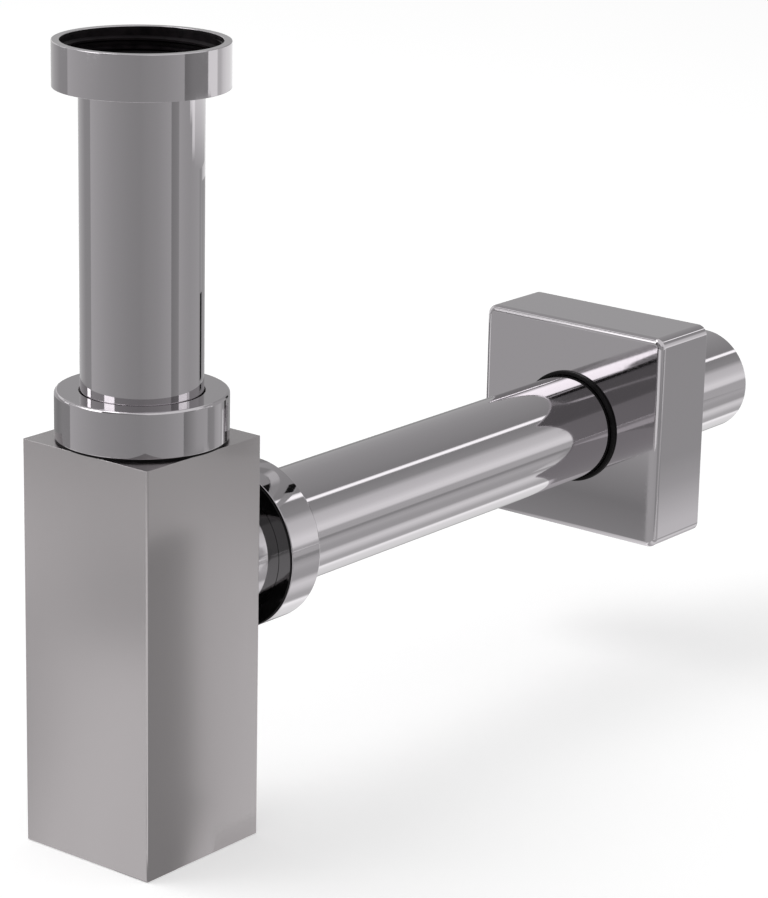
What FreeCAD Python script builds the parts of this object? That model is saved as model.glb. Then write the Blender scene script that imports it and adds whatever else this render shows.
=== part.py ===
"""A square bottle trap for a washbasin, in chrome-plated brass.

The water comes down the inlet tube into the square bottle, turns at the foot of the tube, rises
round it and leaves by the outlet tube through the wall flange.

Origin: on the inlet axis, where the basin waste seats on the inlet washer.
+Z is up along the inlet tube and +Y is out along the outlet tube, into the wall.
"""

import FreeCAD, Part
import os

import Sketcher

SHEET = "Dims"

# Driving sizes in millimetres: name, size, what it measures.
SIZES = (
    ("tube_radius", 16.0, "outside radius of the inlet and outlet tubes"),
    ("tube_wall", 1.0, "wall of both tubes"),
    ("tube_edge", 0.3, "chamfer on the tube ends"),
    ("tube_flange_width", 3.0, "turned-out collar at the top of the inlet tube"),
    ("tube_flange_thickness", 1.2, "thickness of that collar"),
    ("foot_clearance", 8.0, "from the foot of the inlet tube down to the floor of the bottle"),
    ("body_drop", 97.4, "from the inlet seat down to the top of the bottle"),
    ("body_height", 111.5, "height of the bottle"),
    ("body_wall", 1.5, "side walls of the bottle"),
    ("body_top_wall", 1.5, "top of the bottle"),
    ("body_corner", 1.0, "rounding of the upright corners"),
    ("body_edge", 0.25, "chamfer round the top and the bottom of the bottle"),
    ("outlet_depth", 38.3, "from the top of the bottle down to the outlet axis"),
    ("thread_rise", 4.955, "from a tube's outside to the root of the G 1 1/4 thread round it"),
    ("thread_depth", 1.479, "from the root of that thread to its crest"),
    ("thread_root_gap", 0.045, "relief past the thread at a root"),
    ("nut_wall", 1.695, "wall of the three round nuts outside the root of the thread"),
    ("nut_overhang", 0.9, "how far the neck nut stands out past the sides of the bottle"),
    ("nut_edge", 0.25, "chamfer on the mouth edge of a nut"),
    ("nut_crown", 0.8, "rounding of the closed end of a slip nut"),
    ("nut_shoulder", 1.9, "closed end of a slip nut"),
    ("neck_nut_height", 12.3, "height of the neck nut"),
    ("outlet_nut_height", 11.8, "length of the outlet nut"),
    ("union_nut_height", 11.8, "height of the union nut at the inlet"),
    ("union_shoulder", 1.6, "inward lip of the union nut"),
    ("union_rim_width", 2.05, "width of the union nut's flat rim"),
    ("washer_inset", 0.4, "how far the inlet washer keeps back from the tube's bore"),
    ("washer_overlap", 0.2, "how far that washer stands out past the tube's collar"),
    ("washer_thickness", 2.0, "thickness of the inlet washer"),
    ("thrust_ring_thickness", 0.8, "nylon ring between the union nut and the tube's collar"),
    ("cover_washer_inset", 0.35, "how far the black washers keep back from the slip nuts' sides"),
    ("cover_washer_thickness", 0.6, "thickness of those washers"),
    ("slip_ring_thickness", 1.0, "nylon ring under a slip nut's shoulder"),
    ("slip_ring_play", 0.4, "room round that ring in the nut's bore"),
    ("seat_width", 2.4, "from the tube out to the mouth of a cone seat"),
    ("seat_depth", 4.0, "depth of a cone seat"),
    ("seal_depth", 3.4, "how far a cone seal reaches into its seat"),
    ("seal_proud", 0.15, "how far a cone seal stands out of its seat"),
    ("collar_foot_thickness", 1.5, "flange of the neck collar inside the bottle"),
    ("collar_foot_play", 0.25, "between that flange and the bottle's side walls"),
    ("spigot_wall", 2.05, "wall of the outlet spigot"),
    ("spigot_recess", 1.4, "how deep the spigot's thread starts inside the outlet nut"),
    ("outlet_nut_reach", 12.55, "from the bottle's side to the near end of the outlet nut"),
    ("outlet_tube_reach", 4.25, "from the bottle's side to the near end of the outlet tube"),
    ("outlet_tube_length", 241.0, "length of the outlet tube"),
    ("mark_place", 12.0, "from the flange's front to the depth mark rolled into the tube"),
    ("mark_width", 0.8, "width of the depth mark"),
    ("mark_depth", 0.25, "depth of the depth mark"),
    ("flange_reach", 166.2, "from the near end of the outlet tube to the front of the wall flange"),
    ("flange_half", 32.75, "half the width of the square wall flange"),
    ("flange_depth", 24.0, "depth of the wall flange"),
    ("flange_wall", 1.5, "sheet of the wall flange"),
    ("flange_corner", 4.0, "rounding of the flange's four depth edges"),
    ("flange_rounding", 2.8, "rounding of the flange's front edges"),
    ("flange_hole_edge", 0.3, "chamfer round the flange's hole"),
    ("grommet_sleeve", 0.85, "rubber between the tube and the flange's hole"),
    ("grommet_bead_width", 1.15, "radial width of the bead in front of the flange"),
    ("grommet_bead_height", 1.0, "how far that bead stands forward"),
    ("grommet_lip_width", 2.6, "radial width of the lip behind the flange"),
    ("grommet_lip_thickness", 1.2, "thickness of that lip"),
    ("base_thickness", 2.0, "base plate of the bottle"),
    ("eye_radius", 14.0, "threaded hole of the cleaning eye"),
    ("boss_wall", 3.5, "boss round the cleaning eye"),
    ("boss_height", 4.0, "height of that boss inside the bottle"),
    ("plug_head_width", 1.95, "how far the cleaning plug's head stands out past its shank"),
    ("plug_head_thickness", 1.6, "thickness of that head"),
    ("plug_wall", 1.6, "wall of the plug's hollow shank"),
    ("plug_slot_width", 2.4, "coin slot of the plug"),
    ("plug_slot_depth", 0.9, "depth of the coin slot"),
    ("plug_slot_end", 4.9, "from an end of the coin slot to the rim of the plug's head"),
    ("plug_ring_section", 0.7, "section radius of the plug's O-ring"),
    ("running_gap", 0.05, "radial play of a piece that slides or turns on another"),
    ("shoulder_gap", 0.3, "radial play where a tube passes through a nut"),
    ("seat_gap", 0.05, "play between faces that seat on each other"),
    ("braze_gap", 0.05, "joint between brazed pieces"),
)


class Size:
    """A length with the sheet formula that gives it."""

    def __init__(self, value, formula):
        self.value = value
        self.formula = formula

    def __add__(self, other):
        other = as_size(other)
        return Size(self.value + other.value, f"({self.formula} + {other.formula})")

    def __sub__(self, other):
        other = as_size(other)
        return Size(self.value - other.value, f"({self.formula} - {other.formula})")

    def __mul__(self, other):
        other = as_size(other)
        return Size(self.value * other.value, f"({self.formula} * {other.formula})")

    def __truediv__(self, other):
        other = as_size(other)
        return Size(self.value / other.value, f"({self.formula} / {other.formula})")

    def __neg__(self):
        return Size(-self.value, f"(0 - {self.formula})")


def as_size(number):
    """A plain number as a Size; a Size stays as it is."""
    return number if isinstance(number, Size) else Size(float(number), f"{float(number):.6f}")


ZERO = as_size(0)


class Sizes:
    """The sheet's sizes as attributes."""


def fill_sheet(doc):
    """Write the driving sizes into a spreadsheet and hand them back as Size attributes."""
    sheet = doc.addObject("Spreadsheet::Sheet", SHEET)
    sizes = Sizes()
    for row, (name, value, meaning) in enumerate(SIZES, start=1):
        sheet.set(f"A{row}", name)
        sheet.set(f"B{row}", str(value))
        sheet.set(f"C{row}", meaning)
        sheet.setAlias(f"B{row}", name)
        setattr(sizes, name, Size(float(value), f"{SHEET}.{name}"))
    doc.recompute()
    return sizes


# Sketches and features

def new_body(doc, label):
    body = doc.addObject("PartDesign::Body", label)
    body.Label = label
    return body


def sketch_on(body, name, role, offset=ZERO):
    """An empty sketch on one of the body's origin planes, moved along the plane's normal."""
    plane = next(item for item in body.Origin.OriginFeatures if item.Role == role)
    sketch = body.newObject("Sketcher::SketchObject", name)
    sketch.AttachmentSupport = (plane, [""])
    sketch.MapMode = "FlatFace"
    sketch.AttachmentOffset = FreeCAD.Placement(
        FreeCAD.Vector(0, 0, offset.value), FreeCAD.Rotation()
    )
    if offset is not ZERO:
        sketch.setExpression("AttachmentOffset.Base.z", offset.formula)
    return sketch


def bind(sketch, constraint, size):
    index = sketch.addConstraint(constraint)
    sketch.setExpression(f"Constraints[{index}]", size.formula)


def draw_outline(sketch, points):
    """A closed outline of straight lines, each corner held by its two coordinates."""
    count = len(points)
    for index, (across, up) in enumerate(points):
        next_across, next_up = points[(index + 1) % count]
        start = FreeCAD.Vector(across.value, up.value, 0)
        end = FreeCAD.Vector(next_across.value, next_up.value, 0)
        sketch.addGeometry(Part.LineSegment(start, end), False)
    for index in range(count):
        sketch.addConstraint(Sketcher.Constraint("Coincident", index, 2, (index + 1) % count, 1))
    for index, (across, up) in enumerate(points):
        bind(sketch, Sketcher.Constraint("DistanceX", index, 1, across.value), across)
        bind(sketch, Sketcher.Constraint("DistanceY", index, 1, up.value), up)


def draw_circle(sketch, radius, across=ZERO, up=ZERO):
    centre = FreeCAD.Vector(across.value, up.value, 0)
    index = sketch.addGeometry(
        Part.Circle(centre, FreeCAD.Vector(0, 0, 1), radius.value), False
    )
    bind(sketch, Sketcher.Constraint("Radius", index, radius.value), radius)
    bind(sketch, Sketcher.Constraint("DistanceX", index, 3, across.value), across)
    bind(sketch, Sketcher.Constraint("DistanceY", index, 3, up.value), up)


def draw_square(sketch, half):
    draw_outline(sketch, [(-half, -half), (half, -half), (half, half), (-half, half)])


def turned(doc, label, points):
    """A body turned about its own Z axis from an outline of (radius, height) corners."""
    body = new_body(doc, label)
    sketch = sketch_on(body, label + "_outline", "XZ_Plane")
    draw_outline(sketch, points)
    turn = body.newObject("PartDesign::Revolution", label + "_turn")
    turn.Profile = sketch
    turn.ReferenceAxis = (sketch, ["V_Axis"])
    turn.Angle = 360.0
    return body


def pad(body, sketch, name, length, down=False):
    feature = body.newObject("PartDesign::Pad", name)
    feature.Profile = sketch
    feature.setExpression("Length", length.formula)
    feature.Reversed = down
    return feature


def pocket(body, sketch, name, length, along_normal=False):
    """A pocket against the sketch's normal, or along it."""
    feature = body.newObject("PartDesign::Pocket", name)
    feature.Profile = sketch
    feature.setExpression("Length", length.formula)
    feature.Reversed = along_normal
    return feature


def soften(body, kind, name, size, wanted):
    """A Fillet or Chamfer on the tip's edges that the test accepts."""
    base = body.Tip
    body.Document.recompute()
    names = [f"Edge{n}" for n, edge in enumerate(base.Shape.Edges, start=1) if wanted(edge)]
    if not names:
        raise RuntimeError(f"{name}: no edge to soften")
    feature = body.newObject("PartDesign::" + kind, name)
    feature.Base = (base, names)
    feature.setExpression("Radius" if kind == "Fillet" else "Size", size.formula)
    return feature


def near(first, second):
    return abs(first - second) < 1e-3


def is_circle(edge, radius, height):
    """Whether an edge is the whole circle of this radius about Z at this height."""
    box = edge.BoundBox
    return lies_at(edge, height) and near(box.XMax, radius.value) and near(box.XMin, -radius.value)


def is_upright(edge, half):
    """Whether an edge is an upright corner of a square of this half width."""
    first, last = edge.Vertexes[0].Point, edge.Vertexes[-1].Point
    upright = near(first.x, last.x) and near(first.y, last.y)
    return upright and near(abs(first.x), half.value) and near(abs(first.y), half.value)


def lies_at(edge, height):
    """Whether the whole edge lies at this height."""
    box = edge.BoundBox
    return near(box.ZMin, height.value) and near(box.ZMax, height.value)


def place(body, along=ZERO, up=ZERO, into_wall=False):
    """Move a body to its place. Into the wall, its own Z axis turns to the outlet's +Y."""
    if into_wall:
        turn = FreeCAD.Rotation(FreeCAD.Vector(1, 0, 0), -90)
    else:
        turn = FreeCAD.Rotation()
    body.Placement = FreeCAD.Placement(FreeCAD.Vector(0, along.value, up.value), turn)
    body.setExpression("Placement.Base.y", along.formula)
    body.setExpression("Placement.Base.z", up.formula)
    return body


# Radii and widths that follow from the tube

def tube_bore(d):
    return d.tube_radius - d.tube_wall


def tube_flange_radius(d):
    return d.tube_radius + d.tube_flange_width


def thread_root(d):
    """Root radius of the G 1 1/4 inside thread."""
    return d.tube_radius + d.thread_rise


def thread_crest(d):
    return thread_root(d) - d.thread_depth


def nut_radius(d):
    """Outside radius of the three round nuts."""
    return thread_root(d) + d.nut_wall


def nut_hole(d):
    return d.tube_radius + d.shoulder_gap


def slip_nut_bore(d):
    """Bore of a slip nut at the root of its thread."""
    return thread_root(d) + d.thread_root_gap


def collar_radius(d):
    """A threaded collar at the root of its thread."""
    return thread_crest(d) - d.thread_root_gap


def collar_bore(d):
    return d.tube_radius + d.shoulder_gap - d.running_gap


def seat_radius(d):
    """Mouth radius of a cone seat."""
    return d.tube_radius + d.seat_width


def spigot_radius(d):
    return collar_bore(d) + d.spigot_wall


def body_half(d):
    """Half the width of the square bottle."""
    return nut_radius(d) - d.nut_overhang


def flange_hole(d):
    return d.tube_radius + d.running_gap + d.grommet_sleeve + d.running_gap


# Levels and stations that several pieces share

def body_top(d):
    return -d.body_drop


def body_floor(d):
    """The upper face of the base plate."""
    return body_top(d) - d.body_height + d.base_thickness


def outlet_axis(d):
    return body_top(d) - d.outlet_depth


def outlet_tube_start(d):
    return body_half(d) + d.outlet_tube_reach


def outlet_nut_place(d):
    return body_half(d) + d.outlet_nut_reach


def flange_place(d):
    return outlet_tube_start(d) + d.flange_reach


def stack_above_collar(d):
    """From the end of a threaded collar to the shoulder inside its slip nut."""
    return d.seal_proud + d.seat_gap + d.slip_ring_thickness + d.seat_gap


def neck_nut_foot(d):
    """The neck nut stands on its cover washer."""
    return body_top(d) + d.cover_washer_thickness + d.seat_gap


def neck_collar_top(d):
    return neck_nut_foot(d) + d.neck_nut_height - d.nut_shoulder - stack_above_collar(d)


def outlet_collar_end(d):
    return outlet_nut_place(d) + d.outlet_nut_height - d.nut_shoulder - stack_above_collar(d)


def union_nut_foot(d):
    """Below the inlet seat: the washer, the tube's collar, the thrust ring and the nut's lip."""
    stack = d.washer_thickness + d.tube_flange_thickness + d.seat_gap
    return -(stack + d.thrust_ring_thickness + d.seat_gap + d.union_shoulder)


# Inlet

def inlet_tube(doc, d):
    """The dip tube: a turned-out collar at the top, open at the foot inside the bottle."""
    outer = d.tube_radius
    inner = tube_bore(d)
    top = -d.washer_thickness
    under_collar = top - d.tube_flange_thickness
    foot = body_floor(d) + d.foot_clearance
    return turned(doc, "inlet_tube", [
        (inner, foot + d.tube_edge),
        (inner + d.tube_edge, foot),
        (outer - d.tube_edge, foot),
        (outer, foot + d.tube_edge),
        (outer, under_collar),
        (tube_flange_radius(d), under_collar),
        (tube_flange_radius(d), top),
        (inner + d.tube_edge, top),
        (inner, top - d.tube_edge),
    ])


def inlet_washer(doc, d):
    """The black rubber washer that the basin waste presses on."""
    edge = d.tube_edge
    inner = tube_bore(d) + d.washer_inset
    outer = tube_flange_radius(d) + d.washer_overlap
    return turned(doc, "inlet_washer", [
        (inner, -d.washer_thickness),
        (outer, -d.washer_thickness),
        (outer, -edge),
        (outer - edge, ZERO),
        (inner + edge, ZERO),
        (inner, -edge),
    ])


def inlet_thrust_ring(doc, d):
    """The nylon ring that lets the union nut turn under the tube's collar."""
    bottom = union_nut_foot(d) + d.union_shoulder + d.seat_gap
    top = bottom + d.thrust_ring_thickness
    inner = d.tube_radius + d.running_gap
    return turned(doc, "inlet_thrust_ring", [
        (inner, bottom),
        (tube_flange_radius(d), bottom),
        (tube_flange_radius(d), top),
        (inner, top),
    ])


def inlet_union_nut(doc, d):
    """The round union nut: a lip under the tube's collar, a relief for the washer, then the thread."""
    foot = union_nut_foot(d)
    top = foot + d.union_nut_height
    outer = nut_radius(d)
    rim = outer - d.union_rim_width
    crest = thread_crest(d)
    thread_start = -(d.seat_gap * 2)
    return turned(doc, "inlet_union_nut", [
        (nut_hole(d), foot),
        (outer - d.nut_edge, foot),
        (outer, foot + d.nut_edge),
        (outer, top - d.nut_edge),
        (outer - d.nut_edge, top),
        (rim, top),
        (crest, top - (rim - crest)),
        (crest, thread_start),
        (thread_root(d), thread_start - d.thread_depth),
        (thread_root(d), foot + d.union_shoulder),
        (nut_hole(d), foot + d.union_shoulder),
    ])


# Slip joints: a threaded collar with a cone seat, a cone seal, a nylon ring and a round nut

def slip_nut(doc, d, label, height):
    """A round slip nut, mouth at its own Z = 0 and rounded at the closed end."""
    bore = slip_nut_bore(d)
    hole = nut_hole(d)
    outer = nut_radius(d)
    body = turned(doc, label, [
        (bore, ZERO),
        (outer - d.nut_edge, ZERO),
        (outer, d.nut_edge),
        (outer, height),
        (hole + d.nut_edge, height),
        (hole, height - d.nut_edge),
        (hole, height - d.nut_shoulder),
        (bore, height - d.nut_shoulder),
    ])
    soften(body, "Fillet", label + "_crown", d.nut_crown,
           lambda edge: is_circle(edge, outer, height))
    return body


def slip_ring(doc, d, label):
    """The nylon ring under a slip nut's shoulder."""
    inner = d.tube_radius + d.running_gap
    outer = slip_nut_bore(d) - d.slip_ring_play
    edge = d.nut_edge
    thick = d.slip_ring_thickness
    return turned(doc, label, [
        (inner, ZERO),
        (outer - edge, ZERO),
        (outer, edge),
        (outer, thick - edge),
        (outer - edge, thick),
        (inner, thick),
    ])


def cone_seal(doc, d, label):
    """The rubber cone that the nut squeezes into the seat, with Z = 0 at the mouth of the seat."""
    inner = d.tube_radius + d.running_gap
    slope = (seat_radius(d) - collar_bore(d)) / d.seat_depth
    mouth = seat_radius(d) - d.running_gap
    tip = mouth - slope * d.seal_depth
    return turned(doc, label, [
        (inner, -d.seal_depth),
        (tip, -d.seal_depth),
        (mouth, ZERO),
        (mouth, d.seal_proud),
        (inner, d.seal_proud),
    ])


def cover_washer(doc, d, label, hole):
    """The thin black washer behind a slip nut."""
    outer = nut_radius(d) - d.cover_washer_inset
    thick = d.cover_washer_thickness
    return turned(doc, label, [
        (hole, ZERO),
        (outer, ZERO),
        (outer, thick),
        (hole, thick),
    ])


def neck_collar(doc, d):
    """The threaded neck, brazed up through the top of the bottle."""
    top = neck_collar_top(d)
    bore = collar_bore(d)
    radius = collar_radius(d)
    plate_foot = body_top(d) - d.body_top_wall - d.braze_gap
    foot = plate_foot - d.collar_foot_thickness
    foot_radius = body_half(d) - d.body_wall - d.collar_foot_play
    return turned(doc, "neck_collar", [
        (bore, foot),
        (foot_radius, foot),
        (foot_radius, plate_foot),
        (radius, plate_foot),
        (radius, top - d.tube_edge),
        (radius - d.tube_edge, top),
        (seat_radius(d), top),
        (bore, top - d.seat_depth),
    ])


# Bottle

def body_shell(doc, d):
    """The square bottle: a drawn shell closed at the top, with a hole for the neck and one for the spigot."""
    body = new_body(doc, "body_shell")
    half = body_half(d)
    block = sketch_on(body, "shell_square", "XY_Plane")
    draw_square(block, half)
    pad(body, block, "shell_block", d.body_height, down=True)
    soften(body, "Fillet", "shell_corners", d.body_corner, lambda edge: is_upright(edge, half))
    ends = (ZERO, -d.body_height)
    soften(body, "Chamfer", "shell_edges", d.body_edge,
           lambda edge: any(lies_at(edge, end) for end in ends))
    inside = sketch_on(body, "shell_inside", "XY_Plane", -d.body_top_wall)
    draw_square(inside, half - d.body_wall)
    pocket(body, inside, "shell_hollow", d.body_height)
    neck = sketch_on(body, "shell_neck", "XY_Plane")
    draw_circle(neck, collar_radius(d) + d.braze_gap)
    pocket(body, neck, "shell_neck_hole", d.body_top_wall * 2)
    side = sketch_on(body, "shell_side", "XZ_Plane")
    draw_circle(side, spigot_radius(d) + d.braze_gap, up=-d.outlet_depth)
    pocket(body, side, "shell_spigot_hole", half * 2)
    return place(body, up=body_top(d))


def base_plate(doc, d):
    """The base of the bottle, with the threaded cleaning eye and a recess for the plug's head."""
    body = new_body(doc, "base_plate")
    plate = sketch_on(body, "base_square", "XY_Plane")
    draw_square(plate, body_half(d) - d.body_wall - d.braze_gap)
    pad(body, plate, "base_slab", d.base_thickness)
    boss = sketch_on(body, "base_boss", "XY_Plane")
    draw_circle(boss, d.eye_radius + d.boss_wall)
    pad(body, boss, "base_boss_pad", d.base_thickness + d.boss_height)
    eye = sketch_on(body, "base_eye", "XY_Plane")
    draw_circle(eye, d.eye_radius)
    pocket(body, eye, "base_eye_hole", d.base_thickness + d.boss_height, along_normal=True)
    recess = sketch_on(body, "base_recess", "XY_Plane")
    draw_circle(recess, plug_head_radius(d) + d.running_gap * 2)
    pocket(body, recess, "base_recess_pocket", recess_depth(d), along_normal=True)
    return place(body, up=body_floor(d) - d.base_thickness)


def plug_shank_radius(d):
    return d.eye_radius - d.running_gap


def plug_head_radius(d):
    return plug_shank_radius(d) + d.plug_head_width


def recess_depth(d):
    """Room for the plug's head and the O-ring under it."""
    return d.plug_head_thickness + d.plug_ring_section * 2 + d.seat_gap * 2


def cleaning_plug(doc, d):
    """The screwed plug in the base: a flush head with a coin slot, and a hollow shank."""
    shank = plug_shank_radius(d)
    rim = plug_head_radius(d)
    hollow = shank - d.plug_wall
    top = d.base_thickness + d.boss_height
    head = d.plug_head_thickness
    edge = d.nut_edge
    body = turned(doc, "cleaning_plug", [
        (ZERO, ZERO),
        (rim - edge, ZERO),
        (rim, edge),
        (rim, head),
        (shank, head),
        (shank, top - edge),
        (shank - edge, top),
        (hollow, top),
        (hollow, head + d.plug_wall),
        (ZERO, head + d.plug_wall),
    ])
    slot = sketch_on(body, "plug_slot", "XY_Plane")
    half_length = rim - d.plug_slot_end
    half_width = d.plug_slot_width / 2
    draw_outline(slot, [
        (-half_length, -half_width),
        (half_length, -half_width),
        (half_length, half_width),
        (-half_length, half_width),
    ])
    pocket(body, slot, "plug_slot_cut", d.plug_slot_depth, along_normal=True)
    return place(body, up=body_floor(d) - d.base_thickness)


def plug_o_ring(doc, d):
    """The O-ring between the plug's head and the step of the recess."""
    ring = doc.addObject("Part::Torus", "plug_o_ring")
    ring.Label = "plug_o_ring"
    section = d.plug_ring_section
    ring.setExpression("Radius1", (d.eye_radius + section + d.running_gap).formula)
    ring.setExpression("Radius2", section.formula)
    under = body_floor(d) - d.base_thickness + d.plug_head_thickness
    return place(ring, up=under + d.seat_gap + section)


# Outlet

def outlet_spigot(doc, d):
    """The outlet stub, brazed into the back of the bottle: smooth, then threaded inside the nut."""
    start = body_half(d) - d.body_wall
    step = outlet_nut_place(d) + d.spigot_recess
    end = outlet_collar_end(d)
    bore = collar_bore(d)
    radius = collar_radius(d)
    body = turned(doc, "outlet_spigot", [
        (bore, start),
        (spigot_radius(d), start),
        (spigot_radius(d), step),
        (radius, step),
        (radius, end - d.tube_edge),
        (radius - d.tube_edge, end),
        (seat_radius(d), end),
        (bore, end - d.seat_depth),
    ])
    return place(body, up=outlet_axis(d), into_wall=True)


def outlet_tube(doc, d):
    """The straight outlet tube, with a depth mark rolled in where the flange hides it."""
    outer = d.tube_radius
    inner = tube_bore(d)
    start = outlet_tube_start(d)
    end = start + d.outlet_tube_length
    mark = flange_place(d) + d.mark_place
    edge = d.tube_edge
    body = turned(doc, "outlet_tube", [
        (inner, start + edge),
        (inner + edge, start),
        (outer - edge, start),
        (outer, start + edge),
        (outer, mark),
        (outer - d.mark_depth, mark + d.mark_depth),
        (outer - d.mark_depth, mark + d.mark_width - d.mark_depth),
        (outer, mark + d.mark_width),
        (outer, end - edge),
        (outer - edge, end),
        (inner + edge, end),
        (inner, end - edge),
    ])
    return place(body, up=outlet_axis(d), into_wall=True)


def wall_flange(doc, d):
    """The square wall flange: a pressed shell, open at the back, rounded at the front and the corners."""
    body = new_body(doc, "wall_flange")
    half = d.flange_half
    block = sketch_on(body, "flange_square", "XY_Plane")
    draw_square(block, half)
    pad(body, block, "flange_block", d.flange_depth)
    soften(body, "Fillet", "flange_corners", d.flange_corner, lambda edge: is_upright(edge, half))
    soften(body, "Fillet", "flange_front", d.flange_rounding, lambda edge: lies_at(edge, ZERO))
    inside = sketch_on(body, "flange_inside", "XY_Plane", d.flange_wall)
    draw_square(inside, half - d.flange_wall)
    pocket(body, inside, "flange_hollow", d.flange_depth, along_normal=True)
    body.Document.recompute()
    inner_half = half - d.flange_wall
    soften(body, "Fillet", "flange_inner_corners", d.flange_corner - d.flange_wall,
           lambda edge: is_upright(edge, inner_half))
    soften(body, "Fillet", "flange_inner_front", d.flange_rounding - d.flange_wall,
           lambda edge: lies_at(edge, d.flange_wall))
    hole = sketch_on(body, "flange_eye", "XY_Plane")
    draw_circle(hole, flange_hole(d))
    pocket(body, hole, "flange_eye_hole", d.flange_wall * 2, along_normal=True)
    soften(body, "Chamfer", "flange_eye_edge", d.flange_hole_edge,
           lambda edge: is_circle(edge, flange_hole(d), ZERO))
    return place(body, along=flange_place(d), up=outlet_axis(d), into_wall=True)


def flange_ring(doc, d):
    """The black rubber grommet that holds the flange on the tube, with a bead in front of it."""
    inner = d.tube_radius + d.running_gap
    sleeve = inner + d.grommet_sleeve
    bead = inner + d.grommet_bead_width
    lip = inner + d.grommet_lip_width
    front = -d.seat_gap
    back = d.flange_wall + d.seat_gap
    tip = front - d.grommet_bead_height
    round_off = d.grommet_bead_width / 3
    body = turned(doc, "flange_ring", [
        (inner, tip + round_off),
        (inner + round_off, tip),
        (bead - round_off, tip),
        (bead, tip + round_off),
        (bead, front),
        (sleeve, front),
        (sleeve, back),
        (lip, back),
        (lip, back + d.grommet_lip_thickness),
        (inner, back + d.grommet_lip_thickness),
    ])
    return place(body, along=flange_place(d), up=outlet_axis(d), into_wall=True)


def build_pieces(doc, d):
    """Every piece of the trap, in its place."""
    neck_top = neck_collar_top(d)
    outlet_end = outlet_collar_end(d)
    level = outlet_axis(d)
    nut_place = outlet_nut_place(d)
    washer_place = nut_place - d.seat_gap - d.cover_washer_thickness
    ring_lift = d.seal_proud + d.seat_gap
    return [
        inlet_tube(doc, d),
        inlet_washer(doc, d),
        inlet_thrust_ring(doc, d),
        inlet_union_nut(doc, d),
        body_shell(doc, d),
        neck_collar(doc, d),
        base_plate(doc, d),
        cleaning_plug(doc, d),
        plug_o_ring(doc, d),
        place(cover_washer(doc, d, "neck_washer", collar_radius(d) + d.running_gap), up=body_top(d)),
        place(cone_seal(doc, d, "neck_cone_seal"), up=neck_top),
        place(slip_ring(doc, d, "neck_slip_ring"), up=neck_top + ring_lift),
        place(slip_nut(doc, d, "neck_nut", d.neck_nut_height), up=neck_nut_foot(d)),
        outlet_spigot(doc, d),
        place(cover_washer(doc, d, "outlet_washer", spigot_radius(d) + d.running_gap),
              along=washer_place, up=level, into_wall=True),
        place(cone_seal(doc, d, "outlet_cone_seal"), along=outlet_end, up=level, into_wall=True),
        place(slip_ring(doc, d, "outlet_slip_ring"),
              along=outlet_end + ring_lift, up=level, into_wall=True),
        place(slip_nut(doc, d, "outlet_nut", d.outlet_nut_height),
              along=nut_place, up=level, into_wall=True),
        outlet_tube(doc, d),
        wall_flange(doc, d),
        flange_ring(doc, d),
    ]


def check(doc, pieces):
    """Stop if any feature failed or any piece isn't one sound solid."""
    for item in doc.Objects:
        if "Invalid" in item.State or "Error" in item.State:
            raise RuntimeError(f"{item.Label} failed: {item.State}")
    for piece in pieces:
        shape = piece.Shape
        if shape.isNull() or not shape.isValid() or len(shape.Solids) != 1:
            raise RuntimeError(f"{piece.Label} isn't one sound solid")


def main():
    doc = FreeCAD.newDocument("DrainTrap")
    sizes = fill_sheet(doc)
    pieces = build_pieces(doc, sizes)
    doc.recompute()
    check(doc, pieces)
    os.makedirs("parts", exist_ok=True)
    for piece in pieces:
        piece.Shape.exportStep(f"parts/{piece.Label}.step")
        box = piece.Shape.BoundBox
        low = f"{box.XMin:.2f} {box.YMin:.2f} {box.ZMin:.2f}"
        high = f"{box.XMax:.2f} {box.YMax:.2f} {box.ZMax:.2f}"
        print(f"{piece.Label}: {piece.Shape.Volume:.1f} mm3, {low} to {high}")


main()
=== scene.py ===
"""The looks of a square bottle trap for a washbasin.

Polished chrome tubes, round nuts and wall flange; a satin bottle; rubber seals and nylon rings inside.
Sizes are in millimetres, in the frame of the solids: the inlet seat at the origin, +Z up the inlet
tube and +Y out along the outlet tube, into the wall.
"""

import math
from dataclasses import dataclass

import bmesh
import bpy
from mathutils import Matrix, Vector


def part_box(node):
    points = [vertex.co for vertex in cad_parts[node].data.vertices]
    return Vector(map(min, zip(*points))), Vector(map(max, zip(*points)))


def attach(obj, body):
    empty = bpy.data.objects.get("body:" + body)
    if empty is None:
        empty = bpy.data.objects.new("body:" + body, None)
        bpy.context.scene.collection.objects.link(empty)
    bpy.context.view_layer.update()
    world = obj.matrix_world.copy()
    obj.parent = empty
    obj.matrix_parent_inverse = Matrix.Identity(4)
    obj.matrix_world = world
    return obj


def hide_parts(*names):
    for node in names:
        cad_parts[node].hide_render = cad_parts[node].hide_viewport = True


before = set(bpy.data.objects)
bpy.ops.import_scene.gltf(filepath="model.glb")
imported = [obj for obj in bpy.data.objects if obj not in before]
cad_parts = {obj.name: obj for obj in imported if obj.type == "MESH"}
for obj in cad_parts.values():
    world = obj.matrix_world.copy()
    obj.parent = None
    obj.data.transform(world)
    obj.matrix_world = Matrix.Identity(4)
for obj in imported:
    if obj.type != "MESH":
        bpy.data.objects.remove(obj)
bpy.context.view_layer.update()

MM = 0.001


def span(node, axis):
    """Where a solid of the frame starts and ends along an axis, in millimetres."""
    return [round(corner["XYZ".index(axis)] / MM, 2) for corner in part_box(node)]


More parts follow.
